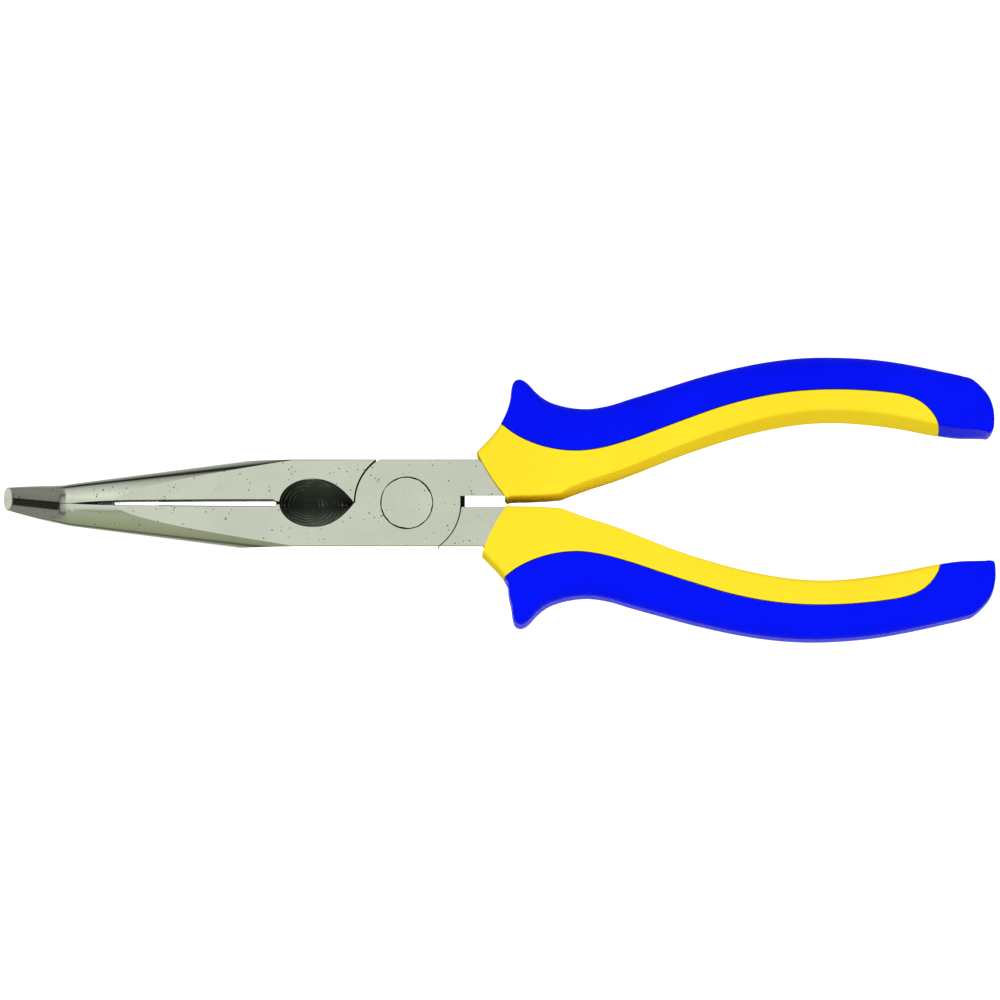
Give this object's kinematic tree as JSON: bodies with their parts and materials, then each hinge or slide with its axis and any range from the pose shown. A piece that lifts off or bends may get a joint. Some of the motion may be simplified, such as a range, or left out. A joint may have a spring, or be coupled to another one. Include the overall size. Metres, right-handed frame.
{
  "type": "bent long nose pliers",
  "caption": "Bent long nose pliers with toothed half-round jaws, side cutters at the joint, a riveted lap pivot and two-colour guarded grips.",
  "frame": {"origin": "where the pivot's axis meets the head's lower flat", "axes": "+X along the closed handles, away from the jaws; +Y from the lower jaw towards the upper one; +Z along the pivot, the way the tip bends"},
  "size_m": [0.2002, 0.0573, 0.0183],
  "materials": {
    "lever_steel": "ground and polished steel with a thin nickel-grey plating",
    "rivet_steel": "ground flush with the head",
    "core_plastic": "moulded yellow, semi-gloss",
    "cover_plastic": "soft moulded blue, satin"
  },
  "bodies": {
    "lower_jaw_body": {"lower_jaw_lever": "lever_steel", "pivot_rivet": "rivet_steel", "upper_grip_core": "core_plastic", "upper_grip_cover": "cover_plastic"},
    "upper_jaw_body": {"upper_jaw_lever": "lever_steel", "lower_grip_core": "core_plastic", "lower_grip_cover": "cover_plastic"}
  },
  "joints": [
    {"name": "jaw_pivot", "type": "hinge", "parent": "lower_jaw_body", "child": "upper_jaw_body", "pos_m": [0, 0, 0.0055], "axis": [0, 0, -1], "range_deg": [0, 40]}
  ]
}
